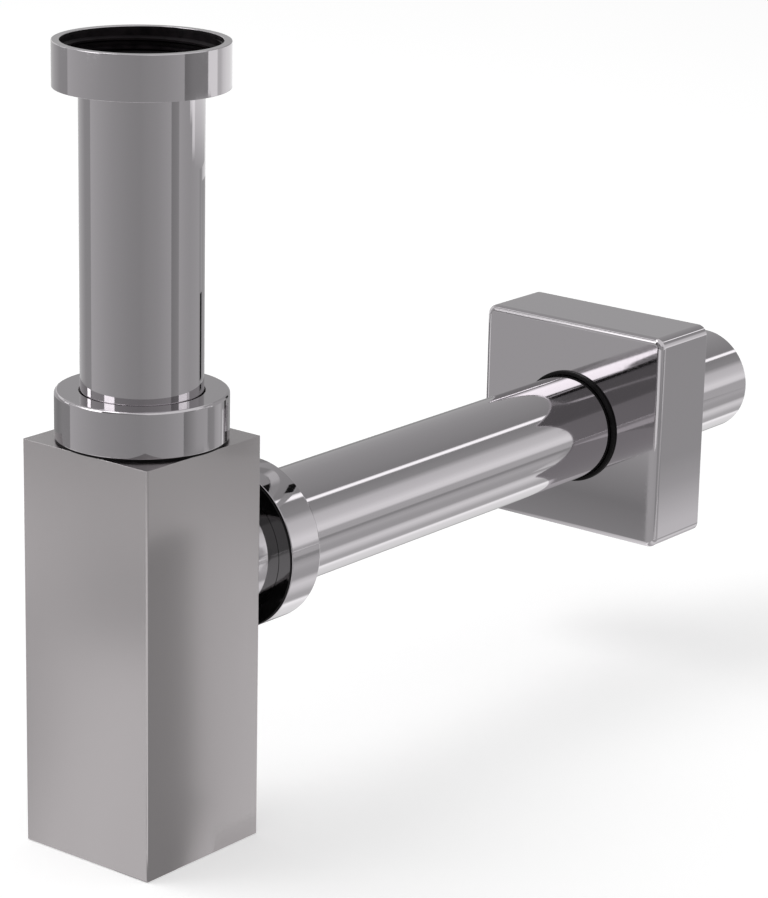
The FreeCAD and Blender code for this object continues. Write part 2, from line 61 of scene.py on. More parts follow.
# Levels up the inlet and stations along the outlet, as the solids have them
SEAT_STACK = span("inlet_washer", "Z")[0]
BODY_FOOT, BODY_TOP = span("body_shell", "Z")
ABOVE_FLOOR = BODY_FOOT + 0.15
NECK_COLLAR_FOOT, NECK_COLLAR_TOP = span("neck_collar", "Z")
NECK_NUT_FOOT, NECK_NUT_TOP = span("neck_nut", "Z")
OUTLET_AXIS = sum(span("wall_flange", "Z")) / 2
SPIGOT_START, OUTLET_COLLAR_END = span("outlet_spigot", "Y")
OUTLET_NUT_FOOT, OUTLET_NUT_END = span("outlet_nut", "Y")
FLANGE_FRONT, FLANGE_BACK = span("wall_flange", "Y")

# Radii and half widths that several pieces share
TUBE = 16.0
TUBE_BORE = TUBE - 1.0
TUBE_RING = TUBE + 0.05
NUT = 22.65
NUT_HOLE = TUBE + 0.3
NUT_BORE = 21.0
COLLAR = 19.431
COLLAR_BORE = TUBE + 0.25
SPIGOT = 18.3
SEAT = 18.4
BODY_HALF = span("body_shell", "X")[1]

# Depth of a collar's cone seat, and the room between a collar and its slip ring
SEAT_DEPTH = 4.0
RING_GAP = 0.2

# Pipe thread: pitch, depth and the widths of a ridge at its foot and its crest
PITCH = 2.309
THREAD_DEPTH = 1.45
THREAD_FOOT = 1.62
THREAD_CREST = 0.5

# Fineness: stations round a piece, steps round a hole or a turn of thread, and the arcs of roundings
STATIONS = 192
ROUND_STEPS = 96
ARC_STEP = math.radians(9)
BROAD_ROUNDING = 0.5
FINE_STEPS = 4


# Plans: the shape of a piece seen along its own axis

@dataclass(eq=False)
class Plan:
    """Stations round a plan: a core point and the outward direction at each.

    reach is how far out the core points lie.
    """

    spots: list
    reach: float


def round_plan():
    spots = []
    for index in range(STATIONS):
        angle = 2 * math.pi * (index + 0.5) / STATIONS
        spots.append((0.0, 0.0, math.cos(angle), math.sin(angle)))
    return Plan(spots, 0.0)


def boxed_plan(half_width, half_depth, corner):
    """A rectangle with rounded corners, its corners drawn round from the +X +Y one."""
    spots = []
    side = STATIONS // 4
    core_x = half_width - corner
    core_y = half_depth - corner
    signs = ((1, 1), (-1, 1), (-1, -1), (1, -1))
    for quarter, (sign_x, sign_y) in enumerate(signs):
        for index in range(side):
            angle = math.pi / 2 * (quarter + index / (side - 1))
            spots.append((core_x * sign_x, core_y * sign_y, math.cos(angle), math.sin(angle)))
    return Plan(spots, core_x)


ROUND = round_plan()


# Outlines: the half section of a piece, as corners with their rounding

@dataclass(eq=False)
class Corner:
    """A corner of an outline: how far out it is, how high, its rounding and the plan it belongs to."""

    out: float
    up: float
    rounding: float = 0.0
    plan: Plan = ROUND


@dataclass(eq=False)
class Stretch:
    """A short straight part of an outline, with a normal at each of its ends and a material number."""

    start: Corner
    start_normal: tuple
    end: Corner
    end_normal: tuple
    finish: int


def heading(first, last):
    """The direction from one corner to another, and how far apart they are."""
    out = last.out - first.out
    up = last.up - first.up
    length = math.hypot(out, up)
    return out / length, up / length, length


def turned_way(corners):
    """+1 for an outline drawn anticlockwise, -1 for the other way."""
    area = 0.0
    for index, corner in enumerate(corners):
        following = corners[(index + 1) % len(corners)]
        area += corner.out * following.up - following.out * corner.up
    return 1.0 if area > 0 else -1.0


def round_off(before, corner, after, way):
    """The points and normals round a corner, and the point and normal that the next edge starts with."""
    in_out, in_up, in_length = heading(before, corner)
    to_out, to_up, to_length = heading(corner, after)
    first_normal = (in_up * way, -in_out * way)
    last_normal = (to_up * way, -to_out * way)
    turn = math.atan2(in_out * to_up - in_up * to_out, in_out * to_out + in_up * to_up)
    if corner.rounding <= 0 or abs(turn) < 1e-4:
        return [(corner, first_normal)], (corner, last_normal)
    just_under_half = 0.499
    room = min(in_length, to_length) * just_under_half
    back = min(corner.rounding * math.tan(abs(turn) / 2), room)
    radius = back / math.tan(abs(turn) / 2)
    bulge = 1.0 if turn * way > 0 else -1.0
    start_out = corner.out - in_out * back
    start_up = corner.up - in_up * back
    centre_out = start_out - first_normal[0] * radius * bulge
    centre_up = start_up - first_normal[1] * radius * bulge
    steps = FINE_STEPS
    if corner.rounding >= BROAD_ROUNDING:
        steps = max(3, math.ceil(abs(turn) / ARC_STEP))
    arc = []
    for index in range(steps + 1):
        angle = turn * index / steps
        cosine, sine = math.cos(angle), math.sin(angle)
        normal = (
            first_normal[0] * cosine - first_normal[1] * sine,
            first_normal[0] * sine + first_normal[1] * cosine,
        )
        out = centre_out + normal[0] * radius * bulge
        up = centre_up + normal[1] * radius * bulge
        arc.append((Corner(out, up, 0.0, corner.plan), normal))
    return arc, arc[-1]


def stretches(corners, finishes, closed=True):
    """The outline as stretches. finishes gives each edge's material number, edge i leaving corner i."""
    count = len(corners)
    way = turned_way(corners)
    arcs = []
    for index, corner in enumerate(corners):
        if closed or 0 < index < count - 1:
            arcs.append(round_off(corners[index - 1], corner, corners[(index + 1) % count], way))
        else:
            other = corners[1] if index == 0 else corners[index - 1]
            ends = (corner, other) if index == 0 else (other, corner)
            out, up, _ = heading(*ends)
            normal = (up * way, -out * way)
            arcs.append(([(corner, normal)], (corner, normal)))
    made = []
    for index in range(count if closed else count - 1):
        arc, (leaving, leaving_normal) = arcs[index]
        finish = finishes[index]
        shared = min(finish, finishes[index - 1]) if (closed or index) else finish
        for (start, start_normal), (end, end_normal) in zip(arc, arc[1:]):
            made.append(Stretch(start, start_normal, end, end_normal, shared))
        reached = arcs[(index + 1) % count][0][0][0]
        made.append(Stretch(leaving, leaving_normal, reached, leaving_normal, finish))
    return made


# Surfaces: faces with their own normals, so that broad faces stay flat beside small roundings

class Surface:
    """The points and faces of one piece. place carries them from the piece's own axes to the frame's."""

    def __init__(self, place):
        self.place = place
        self.turn = place.to_3x3()
        self.index = {}
        self.points = []
        self.faces = []
        self.normals = []
        self.finishes = []

    def spot(self, point):
        """The number of a point, one number for all points within a ten-thousandth of a millimetre."""
        key = tuple(round(value * 1e4) for value in point)
        if key not in self.index:
            self.index[key] = len(self.points)
            self.points.append(self.place @ Vector(point) * MM)
        return self.index[key]

    def add(self, corners, finish=0):
        """A face from (point, normal) pairs, turned so that it faces the way its normals do."""
        ids, normals, shape = [], [], []
        for point, normal in corners:
            number = self.spot(point)
            if number not in ids:
                ids.append(number)
                normals.append(Vector(normal).normalized())
                shape.append(Vector(point))
        if len(ids) < 3:
            return
        facing = Vector((0, 0, 0))
        for index in range(1, len(shape) - 1):
            facing += (shape[index] - shape[0]).cross(shape[index + 1] - shape[0])
        if facing.dot(sum(normals, Vector((0, 0, 0)))) < 0:
            ids.reverse()
            normals.reverse()
        self.faces.append(ids)
        self.normals.extend(self.turn @ normal for normal in normals)
        self.finishes.append(finish)

    def mesh(self, name, materials):
        mesh = bpy.data.meshes.new(name)
        mesh.from_pydata(self.points, [], self.faces)
        for material in materials:
            mesh.materials.append(material)
        for polygon, finish in zip(mesh.polygons, self.finishes):
            polygon.use_smooth = True
            polygon.material_index = finish
        mesh.update()
        mesh.normals_split_custom_set(self.normals)
        return mesh


def on_plan(corner, station):
    """A corner's point at one station of its plan."""
    core_x, core_y, away_x, away_y = corner.plan.spots[station]
    out = corner.out - corner.plan.reach
    return core_x + away_x * out, core_y + away_y * out, corner.up


def lean(corner, normal, station):
    """An outline's normal carried to one station of the corner's plan."""
    _, _, away_x, away_y = corner.plan.spots[station]
    return away_x * normal[0], away_y * normal[0], normal[1]


def wrap(surface, parts, leave_open=None):
    """Carry an outline round its plan. leave_open says which faces stay out, by stretch and station."""
    for part in parts:
        for station in range(STATIONS):
            following = (station + 1) % STATIONS
            if leave_open and leave_open(part, station):
                continue
            surface.add([
                (on_plan(part.start, station), lean(part.start, part.start_normal, station)),
                (on_plan(part.start, following), lean(part.start, part.start_normal, following)),
                (on_plan(part.end, following), lean(part.end, part.end_normal, following)),
                (on_plan(part.end, station), lean(part.end, part.end_normal, station)),
            ], part.finish)


def cap(surface, corner, facing, finish=0):
    """A flat end across the plan of a corner, facing up or down."""
    normal = (0.0, 0.0, facing)
    surface.add([(on_plan(corner, station), normal) for station in range(STATIONS)], finish)


def upright(level=0.0):
    return Matrix.Translation((0.0, 0.0, level))


def into_wall(along=0.0):
    """A piece's own Z axis turned to +Y, on the outlet axis."""
    return Matrix.Translation((0.0, along, OUTLET_AXIS)) @ Matrix.Rotation(-math.pi / 2, 4, "X")


def hand_over(name, mesh, body, nodes=()):
    """Make a finished mesh a piece of the trap that rides on a body and stands for its solids."""
    piece = bpy.data.objects.new(name, mesh)
    bpy.context.scene.collection.objects.link(piece)
    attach(piece, body)
    if nodes:
        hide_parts(*nodes)


def turned(name, node, body, place, outline, materials, bare=()):
    """A piece turned or pressed from an outline. bare numbers the edges with the second material."""
    surface = Surface(place)
    finishes = [1 if index in bare else 0 for index in range(len(outline))]
    wrap(surface, stretches([Corner(*entry) for entry in outline], finishes))
    hand_over(name, surface.mesh(name, materials), body, [node])


# Node trees

def set_inputs(node, values):
    """Give a node's inputs their values. A value that is another node's output is joined on."""
    for name, value in values.items():
        if isinstance(value, bpy.types.NodeSocket):
            node.id_data.links.new(value, node.inputs[name])
        else:
            node.inputs[name].default_value = value


def add_node(tree, kind, values=None, **settings):
    """A new node in a tree. values are for its inputs, by name or number."""
    node = tree.nodes.new(kind)
    for name, value in settings.items():
        setattr(node, name, value)
    set_inputs(node, values or {})
    return node


# Materials

# The middle part of a noise value, which is spread over a material's range
NOISE_LOW = 0.3
NOISE_HIGH = 0.7


def set_surface(material, values):
    set_inputs(material.node_tree.nodes["Principled BSDF"], values)


def new_material(name, colour, metallic, roughness, specular=0.5):
    material = bpy.data.materials.new(name)
    material.use_nodes = True
    set_surface(material, {
        "Base Color": (*colour, 1.0),
        "Metallic": metallic,
        "Roughness": roughness,
        "Specular IOR Level": specular,
    })
    return material


def object_noise(material, across, up=None, detail=2.0):
    """Noise on the piece's own coordinates, in cells a metre: across, and up where Z has another count."""
    tree = material.node_tree
    coordinates = add_node(tree, "ShaderNodeTexCoord")
    mapping = add_node(tree, "ShaderNodeMapping", {
        "Vector": coordinates.outputs["Object"],
        "Scale": (across, across, up or across),
    })
    noise = add_node(tree, "ShaderNodeTexNoise", {
        "Vector": mapping.outputs["Vector"],
        "Scale": 1.0,
        "Detail": detail,
    })
    return noise.outputs["Fac"]


def drive_roughness(material, value, low, high):
    """Roughness from a noise value, whose middle part is spread over the range."""
    spread = add_node(material.node_tree, "ShaderNodeMapRange", {
        "Value": value,
        "From Min": NOISE_LOW,
        "From Max": NOISE_HIGH,
        "To Min": low,
        "To Max": high,
    })
    set_surface(material, {"Roughness": spread.outputs["Result"]})


def drive_colour(material, value, low, high):
    """Colour from a noise value, whose middle part runs from one colour to the other."""
    ramp = add_node(material.node_tree, "ShaderNodeValToRGB", {"Fac": value})
    first, last = ramp.color_ramp.elements
    first.position, last.position = NOISE_LOW, NOISE_HIGH
    first.color, last.color = (*low, 1.0), (*high, 1.0)
    set_surface(material, {"Base Color": ramp.outputs["Color"]})


def add_bumps(material, layers):
    """Bumps one over the other: (height, depth in millimetres, strength)."""
    previous = None
    for height, depth, strength in layers:
        bump = add_node(material.node_tree, "ShaderNodeBump", {
            "Height": height,
            "Distance": depth * MM,
            "Strength": strength,
        })
        if previous:
            set_inputs(bump, {"Normal": previous})
        previous = bump.outputs["Normal"]
    set_surface(material, {"Normal": previous})


def polished_chrome():
    """Bright plating over polished brass: a faint waviness and hair-fine polishing marks."""
    material = new_material("polished_chrome", (0.510, 0.488, 0.508), 1.0, 0.05)
    waviness = object_noise(material, 55.0, detail=1.0)
    marks = object_noise(material, 900.0, detail=3.0)
    drive_roughness(material, marks, 0.035, 0.075)
    add_bumps(material, [(waviness, 0.02, 0.25), (marks, 0.0006, 0.3)])
    return material


def satin_chrome():
    """Chrome brushed along the bottle's height."""
    material = new_material("satin_chrome", (0.452, 0.428, 0.434), 1.0, 0.22)
    brushing = object_noise(material, 2600.0, up=28.0, detail=3.0)
    patches = object_noise(material, 30.0, up=12.0, detail=1.0)
    drive_colour(material, patches, (0.442, 0.419, 0.425), (0.462, 0.438, 0.444))
    drive_roughness(material, brushing, 0.215, 0.235)
    add_bumps(material, [(brushing, 0.004, 0.10)])
    return material


def raw_brass():
    """Unplated brass inside the tubes and nuts, dulled, with turning marks."""
    material = new_material("raw_brass", (0.50, 0.38, 0.20), 1.0, 0.38)
    dulling = object_noise(material, 160.0, detail=4.0)
    marks = object_noise(material, 700.0, up=2400.0)
    drive_colour(material, dulling, (0.34, 0.25, 0.14), (0.55, 0.42, 0.23))
    drive_roughness(material, marks, 0.30, 0.48)
    add_bumps(material, [(marks, 0.01, 0.3)])
    return material


def painted_shade_thread():
    """Near-black painted shade for the deep inside of the union nut and its thread."""
    material = new_material("painted_shade_thread", (0.008, 0.006, 0.008), 0.3, 0.45, 0.15)
    dust = object_noise(material, 420.0, detail=3.0)
    drive_colour(material, dust, (0.005, 0.004, 0.005), (0.012, 0.009, 0.011))
    drive_roughness(material, dust, 0.36, 0.52)
    add_bumps(material, [(dust, 0.02, 0.3)])
    return material


def black_rubber():
    """Moulded rubber: a fine matt skin with a little bloom."""
    material = new_material("black_rubber", (0.004, 0.0037, 0.004), 0.0, 0.42, 0.10)
    skin = object_noise(material, 2200.0, detail=3.0)
    bloom = object_noise(material, 240.0)
    drive_colour(material, bloom, (0.003, 0.0027, 0.003), (0.007, 0.0065, 0.007))
    drive_roughness(material, bloom, 0.34, 0.55)
    add_bumps(material, [(skin, 0.01, 0.3)])
    return material


def glossy_black():
    """The smooth face of the outlet washer, which mirrors the spigot."""
    material = new_material("glossy_black", (0.003, 0.0027, 0.003), 0.0, 0.07)
    set_surface(material, {"IOR": 2.5})
    skin = object_noise(material, 700.0)
    bloom = object_noise(material, 240.0)
    drive_colour(material, bloom, (0.002, 0.0018, 0.002), (0.005, 0.0046, 0.005))
    drive_roughness(material, bloom, 0.05, 0.10)
    add_bumps(material, [(skin, 0.002, 0.2)])
    return material


def white_nylon():
    """Turned nylon rings: off-white and slightly waxy."""
    material = new_material("white_nylon", (0.78, 0.76, 0.71), 0.0, 0.36, 0.45)
    cloud = object_noise(material, 220.0)
    marks = object_noise(material, 500.0, up=3200.0)
    drive_colour(material, cloud, (0.72, 0.70, 0.64), (0.82, 0.80, 0.76))
    drive_roughness(material, marks, 0.28, 0.46)
    add_bumps(material, [(marks, 0.01, 0.25)])
    return material


# Screw threads

def calculate(tree, operation, first, second, clamp=False):
    node = add_node(tree, "ShaderNodeMath", {0: first, 1: second}, operation=operation, use_clamp=clamp)
    return node.outputs[0]


def ridge_section(tree, given):
    """The ridge cut across: a broad foot sunk into the cylinder and a narrow crest."""
    points = {}
    for name, out, width, side in (
        ("Point 1", "Sink", "Foot width", -0.5),
        ("Point 2", "Depth", "Crest width", -0.5),
        ("Point 3", "Depth", "Crest width", 0.5),
        ("Point 4", "Sink", "Foot width", 0.5),
    ):
        along = calculate(tree, "MULTIPLY", given[width], side)
        corner = add_node(tree, "ShaderNodeCombineXYZ", {"X": given[out], "Y": along})
        points[name] = corner.outputs[0]
    section = add_node(tree, "GeometryNodeCurvePrimitiveQuadrilateral", points, mode="POINTS")
    return section.outputs["Curve"]


def ridge_growth(tree, given, spiral):
    """The ridge's share of its full size: least at both ends of the spiral, whole past the run-out."""
    whole = add_node(tree, "GeometryNodeCurveLength", {"Curve": spiral})
    from_start = add_node(tree, "GeometryNodeSplineParameter").outputs["Length"]
    from_end = calculate(tree, "SUBTRACT", whole.outputs["Length"], from_start)
    nearest = calculate(tree, "MINIMUM", from_start, from_end)
    rise = calculate(tree, "DIVIDE", nearest, given["Run-out"], clamp=True)
    least = 0.04
    return calculate(tree, "MAXIMUM", rise, least)


def thread_tree():
    """One ridge wound round a cylinder, running out at both ends. A negative depth points inwards."""
    tree = bpy.data.node_groups.new("pipe_thread", "GeometryNodeTree")
    tree.interface.new_socket("Geometry", in_out="OUTPUT", socket_type="NodeSocketGeometry")
    wanted = (
        ("Radius", "NodeSocketFloat"),
        ("Pitch", "NodeSocketFloat"),
        ("Turns", "NodeSocketFloat"),
        ("Depth", "NodeSocketFloat"),
        ("Foot width", "NodeSocketFloat"),
        ("Crest width", "NodeSocketFloat"),
        ("Sink", "NodeSocketFloat"),
        ("Run-out", "NodeSocketFloat"),
        ("Steps a turn", "NodeSocketInt"),
        ("Finish", "NodeSocketMaterial"),
    )
    for name, kind in wanted:
        tree.interface.new_socket(name, in_out="INPUT", socket_type=kind)
    given = add_node(tree, "NodeGroupInput").outputs
    spiral = add_node(tree, "GeometryNodeCurveSpiral", {
        "Resolution": given["Steps a turn"],
        "Rotations": given["Turns"],
        "Start Radius": given["Radius"],
        "End Radius": given["Radius"],
        "Height": calculate(tree, "MULTIPLY", given["Pitch"], given["Turns"]),
        "Reverse": True,
    }).outputs["Curve"]
    level = add_node(tree, "GeometryNodeSetCurveNormal", {"Curve": spiral}, mode="Z_UP")
    wound = add_node(tree, "GeometryNodeCurveToMesh", {
        "Curve": level.outputs["Curve"],
        "Profile Curve": ridge_section(tree, given),
        "Scale": ridge_growth(tree, given, spiral),
        "Fill Caps": True,
    })
    real = add_node(tree, "GeometryNodeRealizeInstances", {"Geometry": wound.outputs["Mesh"]})
    finish = add_node(tree, "GeometryNodeSetMaterial", {
        "Geometry": real.outputs["Geometry"],
        "Material": given["Finish"],
    })
    add_node(tree, "NodeGroupOutput", {"Geometry": finish.outputs["Geometry"]})
    return tree


def wound_thread(name, tree, place, start, sizes, material, body):
    """A thread ridge as a plain mesh, starting at its own height start."""
    holder = bpy.data.objects.new(name + "_holder", bpy.data.meshes.new(name + "_holder"))
    bpy.context.scene.collection.objects.link(holder)
    modifier = holder.modifiers.new("thread", "NODES")
    modifier.node_group = tree
    values = {**sizes, "Steps a turn": ROUND_STEPS, "Finish": material}
    for socket in tree.interface.items_tree:
        if socket.in_out == "INPUT":
            modifier[socket.identifier] = values[socket.name]
    holder.update_tag()
    bpy.context.view_layer.update()
    evaluated = holder.evaluated_get(bpy.context.evaluated_depsgraph_get())
    mesh = bpy.data.meshes.new_from_object(evaluated)
    mesh.name = name
    holder.modifiers.remove(modifier)
    bpy.data.objects.remove(holder)
    shape = bmesh.new()
    shape.from_mesh(mesh)
    bmesh.ops.remove_doubles(shape, verts=shape.verts, dist=1e-4)
    bmesh.ops.recalc_face_normals(shape, faces=shape.faces)
    shape.to_mesh(mesh)
    shape.free()
    mesh.transform(Matrix.Scale(MM, 4) @ place @ Matrix.Translation((0.0, 0.0, start)))
    mesh.shade_smooth()
    mesh.set_sharp_from_angle(angle=math.radians(35))
    hand_over(name, mesh, body)


def ridge_sizes(radius, depth, turns, pitch=PITCH, foot=THREAD_FOOT, crest=THREAD_CREST):
    """What the thread's tree is given. The ridge's foot sinks a little into the metal it stands on."""
    sink = 0.03
    return {
        "Radius": radius,
        "Pitch": pitch,
        "Turns": turns,
        "Depth": depth,
        "Foot width": foot,
        "Crest width": crest,
        "Sink": -sink if depth > 0 else sink,
        "Run-out": radius * 0.9,
    }


# Pieces of the inlet

def make_inlet(chrome, brass, rubber, nylon):
    """The inlet tube with its collar, the washer on it and the thrust ring under it."""
    foot = span("inlet_tube", "Z")[0]
    collar, under_collar = 19.0, SEAT_STACK - 1.2
    turned("inlet_tube_looks", "inlet_tube", "inlet", upright(), [
        (TUBE_BORE, foot, 0.3),
        (TUBE, foot, 0.3),
        (TUBE, under_collar, 0.3),
        (collar, under_collar, 0.2),
        (collar, SEAT_STACK, 0.2),
        (TUBE_BORE, SEAT_STACK, 0.3),
    ], [chrome, brass], bare=(5,))
    washer_hole, washer_rim = 15.4, 19.2
    turned("inlet_washer_looks", "inlet_washer", "inlet", upright(), [
        (washer_hole, SEAT_STACK, 0.0),
        (washer_rim, SEAT_STACK, 0.1),
        (washer_rim, 0.0, 0.4),
        (washer_hole, 0.0, 0.4),
    ], [rubber])
    ring_foot, ring_top = span("inlet_thrust_ring", "Z")
    turned("inlet_thrust_ring_looks", "inlet_thrust_ring", "union_ring", upright(), [
        (TUBE_RING, ring_foot, 0.1),
        (collar, ring_foot, 0.1),
        (collar, ring_top, 0.1),
        (TUBE_RING, ring_top, 0.1),
    ], [nylon])


def make_union_nut(chrome, thread_painted_shade, tree):
    """The nut at the top: a lip for the thrust ring below, then a thread with a relief under it."""
    foot, top = span("inlet_union_nut", "Z")
    mouth, bore, relief = 20.6, 20.55, 20.955
    lip, mouth_depth, relief_top = 1.6, 0.8, -1.6
    # The inner faces and the thread take the near-black painted shade of the nut's hollow.
    turned("union_nut_looks", "inlet_union_nut", "union_nut", upright(), [
        (NUT_HOLE, foot, 0.2),
        (NUT, foot, 0.12),
        (NUT, top, 0.2),
        (mouth, top, 0.15),
        (bore, top - mouth_depth, 0.0),
        (bore, relief_top + 0.4, 0.0),
        (relief, relief_top, 0.0),
        (relief, foot + lip, 0.2),
        (NUT_HOLE, foot + lip, 0.1),
    ], [chrome, thread_painted_shade], bare=(3, 4, 5, 6, 7))
    thread_start = -0.3
    wound_thread("union_nut_thread", tree, upright(), thread_start,
                 ridge_sizes(bore, -1.05, turns=2.2), thread_painted_shade, "union_nut")


# Slip joints

def slip_nut(name, node, body, place, height, chrome, brass):
    """A round nut, open at its foot and closed to a hole for the tube at its far end."""
    under_shoulder = height - 1.9
    turned(name, node, body, place, [
        (NUT_BORE, 0.0, 0.2),
        (NUT, 0.0, 0.25),
        (NUT, height, 0.8),
        (NUT_HOLE, height, 0.25),
        (NUT_HOLE, under_shoulder, 0.1),
        (NUT_BORE, under_shoulder, 0.25),
    ], [chrome, brass], bare=(4, 5))


def cone_seal(name, node, body, place, rubber):
    """A rubber cone, its broad end a little proud of the collar it sits in."""
    nose, nose_depth = 16.52, 3.4
    rim, proud = SEAT - 0.05, 0.15
    turned(name, node, body, place, [
        (TUBE_RING, -nose_depth, 0.1),
        (nose, -nose_depth, 0.1),
        (rim, 0.0, 0.1),
        (rim, proud, 0.05),
        (TUBE_RING, proud, 0.05),
    ], [rubber])


def slip_ring(name, node, body, place, nylon):
    rim, thick = 20.6, 1.0
    turned(name, node, body, place, [
        (TUBE_RING, 0.0, 0.1),
        (rim, 0.0, 0.25),
        (rim, thick, 0.25),
        (TUBE_RING, thick, 0.1),
    ], [nylon])


def cover_washer(name, node, place, hole, rubber, face):
    """A thin black washer. face is the material of the side next to the bottle."""
    rim, thick = 22.3, 0.6
    turned(name, node, "bottle", place, [
        (hole, 0.0, 0.05),
        (rim, 0.0, 0.08),
        (rim, thick, 0.08),
        (hole, thick, 0.05),
    ], [rubber, face], bare=(0,))


def make_neck(chrome, brass, rubber, nylon, tree):
    """The slip joint on top of the bottle."""
    braze_rim, braze_top = 20.0, NECK_COLLAR_FOOT + 1.5
    turned("neck_collar_looks", "neck_collar", "bottle", upright(), [
        (COLLAR_BORE, NECK_COLLAR_FOOT, 0.1),
        (braze_rim, NECK_COLLAR_FOOT, 0.2),
        (braze_rim, braze_top, 0.2),
        (COLLAR, braze_top, 0.0),
        (COLLAR, NECK_COLLAR_TOP, 0.3),
        (SEAT, NECK_COLLAR_TOP, 0.15),
        (COLLAR_BORE, NECK_COLLAR_TOP - SEAT_DEPTH, 0.1),
    ], [brass])
    cover_washer("neck_washer_looks", "neck_washer", upright(BODY_TOP), COLLAR + 0.05, rubber, rubber)
    cone_seal("neck_seal_looks", "neck_cone_seal", "neck_seal", upright(NECK_COLLAR_TOP), rubber)
    slip_ring("neck_ring_looks", "neck_slip_ring", "neck_ring",
              upright(NECK_COLLAR_TOP + RING_GAP), nylon)
    slip_nut("neck_nut_looks", "neck_nut", "neck_nut", upright(NECK_NUT_FOOT),
             NECK_NUT_TOP - NECK_NUT_FOOT, chrome, brass)
    thread_start = NECK_NUT_FOOT + 0.95
    wound_thread("neck_collar_thread", tree, upright(), thread_start,
                 ridge_sizes(COLLAR, THREAD_DEPTH, turns=3.1), brass, "bottle")
    wound_thread("neck_nut_thread", tree, upright(), thread_start + PITCH / 2,
                 ridge_sizes(NUT_BORE, -THREAD_DEPTH, turns=2.5), brass, "neck_nut")


def make_outlet_joint(chrome, brass, rubber, glossy, nylon, tree):
    """The spigot behind the bottle and the slip joint on its end."""
    bottle_side, fillet, collar_start = BODY_HALF + 0.01, 0.5, 35.7
    turned("outlet_spigot_looks", "outlet_spigot", "bottle", into_wall(), [
        (COLLAR_BORE, SPIGOT_START, 0.1),
        (SPIGOT, SPIGOT_START, 0.0),
        (SPIGOT, bottle_side, 0.0),
        (SPIGOT + fillet, bottle_side, 0.0),
        (SPIGOT, bottle_side + fillet, 0.4),
        (SPIGOT, collar_start, 0.0),
        (COLLAR, collar_start, 0.1),
        (COLLAR, OUTLET_COLLAR_END, 0.3),
        (SEAT, OUTLET_COLLAR_END, 0.15),
        (COLLAR_BORE, OUTLET_COLLAR_END - SEAT_DEPTH, 0.1),
    ], [chrome, brass], bare=(5, 6, 7, 8, 9))
    cover_washer("outlet_washer_looks", "outlet_washer", into_wall(span("outlet_washer", "Y")[0]),
                 SPIGOT + 0.05, rubber, glossy)
    cone_seal("outlet_seal_looks", "outlet_cone_seal", "outlet_seal",
              into_wall(OUTLET_COLLAR_END), rubber)
    slip_ring("outlet_ring_looks", "outlet_slip_ring", "outlet_ring",
              into_wall(OUTLET_COLLAR_END + RING_GAP), nylon)
    slip_nut("outlet_nut_looks", "outlet_nut", "outlet_nut", into_wall(OUTLET_NUT_FOOT),
             OUTLET_NUT_END - OUTLET_NUT_FOOT, chrome, brass)
    thread_start = collar_start + 0.9
    wound_thread("outlet_collar_thread", tree, into_wall(), thread_start,
                 ridge_sizes(COLLAR, THREAD_DEPTH, turns=2.35), brass, "bottle")
    wound_thread("outlet_nut_thread", tree, into_wall(), thread_start - PITCH / 2,
                 ridge_sizes(NUT_BORE, -THREAD_DEPTH, turns=2.9), brass, "outlet_nut")


def make_outlet_tube(chrome, brass):
    """The tube into the wall, with a fine groove round it inside the flange."""
    start, end = span("outlet_tube", "Y")
    groove, bevel, floor = FLANGE_FRONT + 12.0, 0.25, 0.3
    turned("outlet_tube_looks", "outlet_tube", "outlet_pipe", into_wall(), [
        (TUBE_BORE, start, 0.3),
        (TUBE, start, 0.3),
        (TUBE, groove, 0.0),
        (TUBE - bevel, groove + bevel, 0.0),
        (TUBE - bevel, groove + bevel + floor, 0.0),
        (TUBE, groove + 2 * bevel + floor, 0.0),
        (TUBE, end, 0.3),
        (TUBE_BORE, end, 0.3),
    ], [chrome, brass], bare=(7,))


def make_flange(chrome, rubber):
    """The wall flange, open at its back, and the ring in its hole."""
    half, depth = span("wall_flange", "X")[1], FLANGE_BACK - FLANGE_FRONT
    sheet, rounding, corner, hole = 1.5, 1.9, 3.2, 16.95
    shell = boxed_plan(half, half, corner)
    turned("wall_flange_looks", "wall_flange", "flange", into_wall(FLANGE_FRONT), [
        (hole, 0.0, 0.3),
        (half, 0.0, rounding, shell),
        (half, depth, 0.25, shell),
        (half - sheet, depth, 0.25, shell),
        (half - sheet, sheet, rounding - sheet, shell),
        (hole, sheet, 0.1),
    ], [chrome])
    front, back = (place - FLANGE_FRONT for place in span("flange_ring", "Y"))
    lip, waist, shoulder, play = 17.2, 16.9, 18.65, 0.05
    turned("flange_ring_looks", "flange_ring", "grommet", into_wall(FLANGE_FRONT), [
        (TUBE_RING, front, 0.4),
        (lip, front, 0.4),
        (lip, -play, 0.05),
        (waist, -play, 0.0),
        (waist, sheet + play, 0.0),
        (shoulder, sheet + play, 0.2),
        (shoulder, back, 0.3),
        (TUBE_RING, back, 0.2),
    ], [rubber])


# Bottle

def holed_panel(surface, corners, centre, radius, depth, normal):
    """A flat upright panel in the plane y = depth, with a round hole in it."""
    rim = []
    for index in range(ROUND_STEPS):
        angle = 2 * math.pi * index / ROUND_STEPS
        rim.append((radius * math.cos(angle), depth, centre + radius * math.sin(angle)))
    quarter = ROUND_STEPS // 4
    for index in range(ROUND_STEPS):
        nearest = corners[index // quarter]
        following = rim[(index + 1) % ROUND_STEPS]
        surface.add([(rim[index], normal), (following, normal), (nearest, normal)])
    for number in range(4):
        surface.add([
            (rim[number * quarter], normal),
            (corners[number], normal),
            (corners[number - 1], normal),
        ])
    return rim


def line_hole(surface, outer, inner, axis):
    """The wall's thickness round a hole, between its outer and its inner rim."""
    for index in range(len(outer)):
        following = (index + 1) % len(outer)
        corners = []
        for point in (outer[index], outer[following], inner[following], inner[index]):
            corners.append((point, (-point[0], 0.0, axis - point[2])))
        surface.add(corners)


